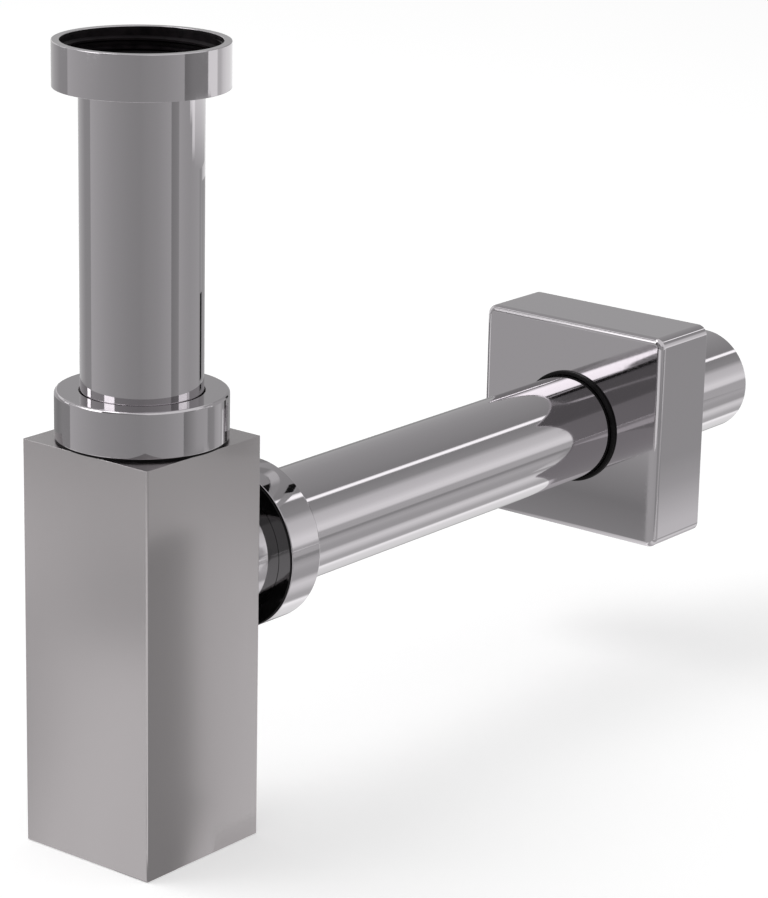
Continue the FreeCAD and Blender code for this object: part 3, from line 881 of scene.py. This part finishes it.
def make_bottle(satin):
    """The square bottle, with the hole in its back that the spigot is brazed into."""
    wall, edge, corner = 1.5, 0.12, 0.5
    inner_half = BODY_HALF - wall
    outside = boxed_plan(BODY_HALF, BODY_HALF, corner)
    inside = boxed_plan(inner_half, inner_half, corner)
    neck_hole = COLLAR + 0.05
    height = BODY_TOP - BODY_FOOT
    outline = [
        (BODY_HALF, -height, edge, outside),
        (BODY_HALF, 0.0, edge, outside),
        (neck_hole, 0.0, 0.05),
        (neck_hole, -wall, 0.05),
        (inner_half, -wall, corner, inside),
        (inner_half, -height, 0.1, inside),
    ]
    surface = Surface(upright(BODY_TOP))
    parts = stretches([Corner(*entry) for entry in outline], [0] * len(outline))
    outer_wall, inner_wall = [part for part in parts if abs(part.start.up - part.end.up) > height / 2]
    back = STATIONS // 4 - 1
    wrap(surface, parts, lambda part, station: station == back and part in (outer_wall, inner_wall))
    hole, axis = SPIGOT + 0.05, OUTLET_AXIS - BODY_TOP
    rims = []
    for part, facing in ((outer_wall, 1.0), (inner_wall, -1.0)):
        foot, top = sorted((part.start, part.end), key=lambda end: end.up)
        panel_corners = [
            on_plan(top, back),
            on_plan(top, back + 1),
            on_plan(foot, back + 1),
            on_plan(foot, back),
        ]
        depth = panel_corners[0][1]
        rims.append(holed_panel(surface, panel_corners, axis, hole, depth, (0.0, facing, 0.0)))
    line_hole(surface, *rims, axis)
    hand_over("body_shell_looks", surface.mesh("body_shell_looks", [satin]), "bottle",
              ["body_shell"])


def make_base(satin, brass, rubber):
    """The base plate with the cleaning eye in it, and the plug's O-ring."""
    top = span("base_plate", "Z")[1] - BODY_FOOT
    half, thick, recess_depth = 20.2, 2.0, 3.1
    recess, eye, boss = 16.0, 14.0, 17.5
    plate = boxed_plan(half, half, 0.3)
    turned("base_plate_looks", "base_plate", "bottle", upright(BODY_FOOT), [
        (recess, 0.0, 0.15),
        (recess, recess_depth, 0.1),
        (eye, recess_depth, 0.1),
        (eye, top, 0.2),
        (boss, top, 0.3),
        (boss, thick, 0.3),
        (half, thick, 0.05, plate),
        (half, 0.0, 0.05, plate),
    ], [satin, brass], bare=(0, 1, 2, 3, 4))
    hole, bead, level = 14.05, 0.7, 2.35
    rim = hole + 2 * bead
    turned("plug_ring_looks", "plug_o_ring", "plug_ring", upright(BODY_FOOT + level), [
        (hole, -bead, bead),
        (rim, -bead, bead),
        (rim, bead, bead),
        (hole, bead, bead),
    ], [rubber])


def make_cleaning_plug(chrome, brass, tree):
    """The screwed plug: a flush head with a coin slot, and a hollow shank with a fine thread."""
    top = span("cleaning_plug", "Z")[1] - BODY_FOOT
    slot_half, slot_depth = 11.0, 0.9
    slot = boxed_plan(slot_half, 1.2, 0.15)
    head, shank, hollow, rim = 1.6, 13.2, 12.35, 15.9
    corners = [Corner(*entry) for entry in [
        (slot_half, slot_depth, 0.0, slot),
        (slot_half, 0.0, 0.08, slot),
        (rim, 0.0, 0.3),
        (rim, head, 0.15),
        (shank, head, 0.2),
        (shank, top, 0.25),
        (hollow, top, 0.2),
        (hollow, 2 * head, 0.3),
    ]]
    surface = Surface(upright(BODY_FOOT))
    wrap(surface, stretches(corners, [0, 0, 0, 1, 1, 1, 1, 1], closed=False))
    cap(surface, corners[0], -1.0)
    cap(surface, corners[-1], 1.0, finish=1)
    hand_over("cleaning_plug_looks", surface.mesh("cleaning_plug_looks", [chrome, brass]), "plug",
              ["cleaning_plug"])
    thread_start = 2.45
    wound_thread("cleaning_plug_thread", tree, upright(BODY_FOOT), thread_start,
                 ridge_sizes(shank, 0.68, turns=1.9, pitch=1.5, foot=1.0, crest=0.3), brass, "plug")


# Studio

def empty_material(name):
    """A material with nothing in its tree yet."""
    material = bpy.data.materials.new(name)
    material.use_nodes = True
    material.node_tree.nodes.clear()
    return material


def card_material(name, levels, one_way):
    """A glow whose greys follow a ramp along the card. A one-way card has a clear back."""
    material = empty_material(name)
    tree = material.node_tree
    marks = add_node(tree, "ShaderNodeUVMap")
    split = add_node(tree, "ShaderNodeSeparateXYZ", {0: marks.outputs["UV"]})
    ramp = add_node(tree, "ShaderNodeValToRGB", {"Fac": split.outputs["X"]})
    elements = ramp.color_ramp.elements
    while len(elements) < len(levels):
        elements.new(1.0)
    for element, (position, level) in zip(elements, levels):
        element.position = position
        element.color = (level, level, level, 1.0)
    seen = add_node(tree, "ShaderNodeEmission", {"Color": ramp.outputs["Color"]})
    if one_way:
        side = add_node(tree, "ShaderNodeNewGeometry")
        clear = add_node(tree, "ShaderNodeBsdfTransparent")
        seen = add_node(tree, "ShaderNodeMixShader", {
            "Fac": side.outputs["Backfacing"],
            1: seen.outputs[0],
            2: clear.outputs[0],
        })
    add_node(tree, "ShaderNodeOutputMaterial", {"Surface": seen.outputs[0]})
    return material


def card(name, rail, far_rail, levels, one_way=False):
    """A card between two rails, seen only in reflections. levels are (place, grey) along the rails."""
    first, last = levels[0][0], levels[-1][0]
    shares = [((place - first) / (last - first), level) for place, level in levels]
    count = len(rail)
    mesh = bpy.data.meshes.new(name)
    faces = [(i, i + 1, count + i + 1, count + i) for i in range(count - 1)]
    mesh.from_pydata([Vector(point) * MM for point in (*rail, *far_rail)], [], faces)
    layer = mesh.uv_layers.new(name="UVMap")
    for loop in mesh.loops:
        layer.data[loop.index].uv = ((loop.vertex_index % count) / (count - 1), 0.5)
    mesh.materials.append(card_material(name, shares, one_way))
    piece = bpy.data.objects.new(name, mesh)
    bpy.context.scene.collection.objects.link(piece)
    piece.visible_camera = False
    piece.visible_diffuse = False
    piece.visible_shadow = False
    piece.visible_transmission = False


def on_arc(radius, azimuth, height):
    angle = math.radians(azimuth)
    return radius * math.cos(angle), radius * math.sin(angle), height


def arc(radius, start, end, height, steps=60):
    """Points of a level arc round the inlet axis, between two azimuths in degrees."""
    return [on_arc(radius, start + (end - start) * index / steps, height) for index in range(steps + 1)]


def arc_card(name, radius, foot, top, levels):
    """An upright card curved round the inlet; its levels go by azimuth."""
    start, end = levels[0][0], levels[-1][0]
    card(name, arc(radius, start, end, foot), arc(radius, start, end, top), levels)


def fan_card(name, along, radius, levels):
    """An upright disc across the outlet axis, its levels going round that axis."""
    start, end = levels[0][0], levels[-1][0]
    rim = []
    for point in arc(radius, start, end, 0.0, 180):
        rim.append((point[0], along, OUTLET_AXIS + point[1]))
    card(name, [(0.0, along, OUTLET_AXIS)] * len(rim), rim, levels)


def wall_card(name, ends, foot, top, levels, one_way=False):
    """A flat upright card; its levels go from the first end of its foot to the second."""
    card(name, [(*end, foot) for end in ends], [(*end, top) for end in ends], levels, one_way)


def post_card(name, near, far, levels):
    """A flat upright card between two posts; its levels go by height."""
    foot, top = levels[0][0], levels[-1][0]
    card(name, [(*near, foot), (*near, top)], [(*far, foot), (*far, top)], levels)


def lying_card(name, near, far, levels, height=ABOVE_FLOOR):
    """A level card between a near and a far edge, each given by its two ends."""
    card(name, [(*end, height) for end in near], [(*end, height) for end in far], levels)


def light_round_the_inlet():
    """Greys that the upright tubes and nuts mirror, in one tier for each of them."""
    wall = 250.0
    top, union_foot, tube_foot, neck_foot = 10.0, -48.8, -149.5, -172.0
    arc_card("front_card", wall, neck_foot, top, [
        (-151.5, 0.64), (-130, 0.57), (-100, 0.48), (-70, 0.42), (-50, 0.40), (-20, 0.46), (6, 0.56),
    ])
    arc_card("left_card", wall, tube_foot, top, [
        (148, 0.63), (165, 0.57), (180, 0.50), (190, 0.43), (208.5, 0.43),
    ])
    arc_card("left_neck_card", wall, neck_foot, tube_foot, [
        (148, 0.31), (175, 0.28), (190, 0.36), (208.5, 0.37),
    ])
    arc_card("right_union_card", wall, union_foot, top, [
        (6.0, 0.25), (18, 0.32), (41.5, 0.34), (42.5, 1.15), (47.8, 1.16),
    ])
    arc_card("right_tube_card", wall, tube_foot, union_foot, [
        (6.0, 0.33), (18, 0.38), (21, 0.41), (22.5, 0.58), (37.4, 0.53), (47.8, 0.51),
    ])
    arc_card("right_neck_card", wall, neck_foot + 6.0, tube_foot, [
        (6.0, 0.28), (18, 0.42), (27, 0.53), (43, 0.58), (45, 0.38), (47.8, 0.38),
    ])


def light_behind_the_inlet():
    """Greys along the right-hand edges of the tube and the nuts, which mirror cards close behind them."""
    behind_tube, behind_neck = 62.0, 66.0
    union_foot, tube_foot, crown_foot = -15.2, -69.2, -98.0
    rim_foot, rim_top = -102.7, -99.2
    arc_card("side_union_card", behind_tube, union_foot, 0.0, [
        (35, 1.16), (46, 1.16), (48, 0.74), (53.6, 0.74), (60, 0.95), (70, 1.05), (117, 1.0),
    ])
    arc_card("side_tube_card", behind_tube, tube_foot, union_foot, [
        (39.1, 0.51), (66.3, 0.54), (71.4, 0.44), (77.5, 0.44), (81.6, 0.70), (96, 0.88), (114, 0.75),
    ])
    arc_card("side_crown_card", behind_tube, crown_foot, tube_foot, [
        (39.1, 0.51), (66.3, 0.54), (71.4, 0.44), (77.5, 0.44), (81.6, 0.70), (87.7, 0.75),
        (91, 0.36), (124, 0.36),
    ])
    arc_card("side_neck_card", behind_neck, -113.2, rim_top, [
        (35.9, 0.38), (44, 0.41), (48.4, 0.56), (58, 0.66),
    ])
    arc_card("side_rim_card", behind_neck, rim_foot, rim_top, [
        (58, 0.66), (64, 0.48), (71, 0.42), (118, 0.30),
    ])
    arc_card("tube_edge_card", behind_tube - 1.0, -95.2, -70.8, [(72.4, 0.01), (87.7, 0.01)])
    arc_card("neck_edge_card", behind_neck - 1.0, rim_foot, rim_top, [(70.6, 0.01), (75.6, 0.01)])


def glints_under_the_union_nut():
    """Bright bands that the tube mirrors under the nut, their levels going by height, and a grey behind."""
    before_cards = 61.5
    for name, start, end, levels in (
        ("near_glint", 39.1, 44.7, [(-23.3, 0.52), (-19.2, 1.0), (-15.2, 1.2)]),
        ("middle_glint", 44.7, 51.9, [(-33.5, 0.52), (-27.4, 0.95), (-15.2, 1.35)]),
        ("far_glint", 51.9, 95.8, [(-35.6, 0.52), (-25.4, 0.80), (-15.2, 1.0)]),
    ):
        card(name + "_card", [on_arc(before_cards, start, level) for level, _ in levels],
             [on_arc(before_cards, end, level) for level, _ in levels], levels)
    arc_card("inlet_back_card", 63.0, -90.0, -3.0, [
        (54, 0.24), (86.4, 0.24), (95, 0.20), (96.6, 0.02), (110, 0.02),
    ])


def windows_over_the_neck():
    """Bright openings that the tube and the crown of the neck nut mirror between them."""
    for name, start, end, level in (
        ("left_window", -165, -154.5, 3.6),
        ("front_window", -119, -98, 3.0),
        ("right_window", 22, 41.5, 1.9),
    ):
        arc_card(name, 240.0, -28.0, -14.0, [(start, level), (end, level)])


def light_round_the_outlet():
    """Streaks along the outlet tube: a fan beyond the flange, and strips on the floor up to it."""
    fan_place = 500.0
    fan_card("outlet_fan", fan_place, 650.0, [
        (-180, 0.3), (-155, 0.6), (-20, 0.67), (-7, 0.66), (-3, 1.15), (4, 1.2), (15, 0.95), (28, 0.86),
        (38, 0.45), (56.5, 0.38), (58, 1.9), (62.5, 1.9), (64, 0.37), (85, 0.42), (110, 0.46),
        (140, 0.50), (172, 0.50), (180, 0.30),
    ])
    reach, pace, clear_of_bottle = 420, 10, 60.0
    rail, far_rail = [], []
    for across in range(-reach, reach + 1, pace):
        rail.append((across, max(across + 32.0, clear_of_bottle), ABOVE_FLOOR))
        far_rail.append((across, fan_place + 0.5, ABOVE_FLOOR))
    card("outlet_strips", rail, far_rail, [
        (-reach, 0.28), (-60, 0.40), (-40, 0.75), (0, 1.1), (14, 1.5), (18, 0.62), (30, 0.66),
        (44, 0.95), (55, 1.1), (66, 0.95), (76, 0.57), (95, 0.58), (131, 0.68), (165, 0.60),
        (195, 0.42), (225, 0.42), (250, 0.65), (reach, 0.65),
    ])


def shade_behind_the_bottle():
    """Dark one-way cards just off the bottle's back, which the outlet washer mirrors."""
    behind, half = BODY_HALF + 0.3, 20.0
    for name, foot, top in (("washer_top_flag", -123.0, -100.0), ("washer_foot_flag", -175.0, -148.0)):
        wall_card(name, [(half, behind), (-half, behind)], foot, top,
                  [(0, 0.005), (1, 0.005)], one_way=True)


def light_of_the_room():
    """A fan on the room's side, mirrored by the far side of the outlet tube and in the flange's face."""
    fan_card("room_fan", -480.0, 700.0, [
        (-180, 0.35), (0, 0.33), (5, 0.66), (12, 0.55), (25, 0.48), (35, 0.30), (40, 0.26),
        (76, 0.26), (83, 0.30), (91, 0.20), (94, 0.02), (108, 0.02), (110.5, 3.2), (140, 3.2),
        (143, 2.2), (150, 0.50), (160, 0.36), (180, 0.35),
    ])


def light_round_the_flange():
    """Greys that the faces and the front edges of the flange mirror."""
    post_card("flange_front_card", (-112.0, 100.0), (-28.0, 100.0), [
        (-206, 0.42), (-200, 0.37), (-191, 0.31), (-180, 0.42), (-168, 0.57), (-130, 0.57),
    ])
    post_card("flange_side_card", (60.0, 230.0), (60.0, 264.0), [
        (-184, 0.92), (-178, 0.87), (-173, 0.76), (-165, 0.58), (-156, 0.48), (-110, 0.47),
    ])
    lying_card("flange_roof_card", [(-650.0, -150.0), (-650.0, 450.0)],
               [(-150.0, -150.0), (-150.0, 450.0)],
               [(-150, 0.45), (40, 0.5), (48, 2.2), (75, 2.2), (83, 0.5), (450, 0.5)], height=300.0)
    lying_card("flange_edge_card", [(0.0, -300.0), (500.0, -300.0)], [(0.0, -32.0), (500.0, 468.0)],
               [(0, 0.42), (1, 0.42)], height=ABOVE_FLOOR - 0.1)
    wall_card("flange_low_card", [(95.0, 140.0), (-5.0, 140.0)], -207.0, -153.0,
              [(0, 0.55), (1, 0.60)], one_way=True)


def light_round_the_bottle():
    """Greys that the top and the two front faces of the bottle mirror, the levels across each face."""
    arc_card("bottle_top_card", 60.0, -96.0, -40.0, [(80, 0.42), (105, 0.46), (156, 0.46)])
    beside = BODY_HALF + 0.05
    near = [(-69.0, -beside), (36.0, -beside)]
    middle = [(-195.0, -150.0), (-76.0, -150.0)]
    far = [(-274.0, -230.0), (-146.0, -230.0)]
    farthest = [(-450.0, -420.0), (-312.0, -420.0)]
    lying_card("bottle_near_card", near, middle, [
        (-66, 0.55), (-34, 0.60), (-20, 0.80), (-9, 0.93), (5, 0.94), (39, 0.90),
    ])
    lying_card("bottle_mid_card", middle, far, [
        (-195, 0.84), (-140, 0.82), (-126, 0.68), (-112, 0.46), (-76, 0.38),
    ])
    lying_card("bottle_far_card", far, farthest, [
        (-274, 0.78), (-240, 0.76), (-220, 0.70), (-146, 0.66),
    ])
    lying_card("bottle_foot_card", [(beside, -40.0), (beside, 4.0)], [(52.0, -2.0), (52.0, 42.0)], [
        (-40, 0.38), (-14, 0.38), (-9, 0.44), (-5, 0.64), (-1, 0.78), (4, 0.86),
    ], height=ABOVE_FLOOR + 0.05)
    lying_card("bottle_edge_card", [(22.0, -290.0), (400.0, -290.0)], [(22.0, -24.0), (400.0, -24.0)],
               [(22, 1.1), (235, 1.0), (265, 0.62), (400, 0.62)], height=ABOVE_FLOOR - 0.05)
    lying_card("bottle_side_card", [(30.0, -12.0), (30.0, 40.0)], [(212.0, 187.0), (212.0, 240.0)],
               [(-12, 0.65), (8, 0.74), (20, 0.86), (40, 0.93)])
    lying_card("bottle_upper_card", [(212.0, 150.0), (212.0, 243.0)], [(300.0, 220.0), (300.0, 331.0)],
               [(0, 0.60), (1, 0.62)])
    wall_card("bottle_flag", [(52.0, 0.0), (52.0, 29.0)], BODY_FOOT, -131.0, [(0, 0.37), (1, 0.39)])


def seen_directly(tree, strength, otherwise=0.0):
    """One strength for rays from the camera, mirrored or through glass, and another for the rest."""
    path = add_node(tree, "ShaderNodeLightPath")
    total = path.outputs["Is Camera Ray"]
    for kind in ("Is Glossy Ray", "Is Transmission Ray"):
        either = add_node(tree, "ShaderNodeMath", {0: total, 1: path.outputs[kind]},
                          operation="ADD", use_clamp=True)
        total = either.outputs[0]
    pick = add_node(tree, "ShaderNodeMapRange", {"Value": total, "To Min": otherwise, "To Max": strength})
    return pick.outputs["Result"]


def studio_floor():
    """A pale floor that reads white away from the shadow, just under the foot of the bottle."""
    reach, level = 6000.0, BODY_FOOT - 0.2
    mesh = bpy.data.meshes.new("studio_floor")
    signs = ((-1, -1), (1, -1), (1, 1), (-1, 1))
    mesh.from_pydata([Vector((x * reach, y * reach, level)) * MM for x, y in signs], [], [(0, 1, 2, 3)])
    material = empty_material("studio_floor")
    tree = material.node_tree
    paint = add_node(tree, "ShaderNodeBsdfDiffuse", {"Color": (0.86, 0.86, 0.86, 1.0)})
    glow = add_node(tree, "ShaderNodeEmission", {"Strength": seen_directly(tree, 0.37)})
    both = add_node(tree, "ShaderNodeAddShader", {0: paint.outputs[0], 1: glow.outputs[0]})
    add_node(tree, "ShaderNodeOutputMaterial", {"Surface": both.outputs[0]})
    mesh.materials.append(material)
    floor = bpy.data.objects.new("studio_floor", mesh)
    bpy.context.scene.collection.objects.link(floor)


def studio_world():
    """White where it is seen or mirrored, and dimmer as a light."""
    world = bpy.data.worlds.new("studio")
    bpy.context.scene.world = world
    world.use_nodes = True
    set_inputs(world.node_tree.nodes["Background"], {
        "Color": (1.0, 1.0, 1.0, 1.0),
        "Strength": seen_directly(world.node_tree, 1.0, 0.6),
    })


def soft_lamp(name, place, aim, size, power):
    """A square lamp that the camera doesn't see. Its place, aim and size are in metres."""
    lamp = bpy.data.lights.new(name, "AREA")
    lamp.shape = "SQUARE"
    lamp.size = size
    lamp.energy = power
    holder = bpy.data.objects.new(name, lamp)
    holder.location = place
    holder.rotation_euler = (Vector(aim) - Vector(place)).to_track_quat("-Z", "Y").to_euler()
    holder.visible_camera = False
    bpy.context.scene.collection.objects.link(holder)


def make_studio():
    studio_floor()
    studio_world()
    soft_lamp("key_lamp", place=(-0.9, -0.5, 1.5), aim=(0.0, 0.1, -0.15), size=1.2, power=11.0)
    light_round_the_inlet()
    light_behind_the_inlet()
    glints_under_the_union_nut()
    windows_over_the_neck()
    light_round_the_outlet()
    shade_behind_the_bottle()
    light_of_the_room()
    light_round_the_flange()
    light_round_the_bottle()


def make_camera():
    """The photograph's viewpoint, in metres and degrees, from a fit of the part's edges."""
    place = (0.55267, -0.59904, 0.14403)
    yaw, pitch, roll = (math.radians(angle) for angle in (38.2919, -16.6661, 1.2090))
    ahead = math.cos(pitch)
    forward = Vector((-math.sin(yaw) * ahead, math.cos(yaw) * ahead, math.sin(pitch)))
    level_right = Vector((math.cos(yaw), math.sin(yaw), 0.0))
    level_up = level_right.cross(forward)
    right = level_right * math.cos(roll) + level_up * math.sin(roll)
    up = level_up * math.cos(roll) - level_right * math.sin(roll)
    data = bpy.data.cameras.new("camera")
    data.sensor_width = 36.0
    data.lens = 131.475
    data.clip_start = 0.05
    data.clip_end = 50.0
    camera = bpy.data.objects.new("camera", data)
    turn = Matrix((right, up, -forward)).transposed()
    camera.matrix_world = Matrix.Translation(place) @ turn.to_4x4()
    bpy.context.scene.collection.objects.link(camera)
    bpy.context.scene.camera = camera


def main():
    bpy.context.scene.view_settings.view_transform = "Standard"
    chrome = polished_chrome()
    satin = satin_chrome()
    brass = raw_brass()
    thread_painted_shade = painted_shade_thread()
    rubber = black_rubber()
    nylon = white_nylon()
    tree = thread_tree()
    make_inlet(chrome, brass, rubber, nylon)
    make_union_nut(chrome, thread_painted_shade, tree)
    make_neck(chrome, brass, rubber, nylon, tree)
    make_bottle(satin)
    make_base(satin, brass, rubber)
    make_cleaning_plug(chrome, brass, tree)
    make_outlet_joint(chrome, brass, rubber, glossy_black(), nylon, tree)
    make_outlet_tube(chrome, brass)
    make_flange(chrome, rubber)
    make_studio()
    make_camera()


main()
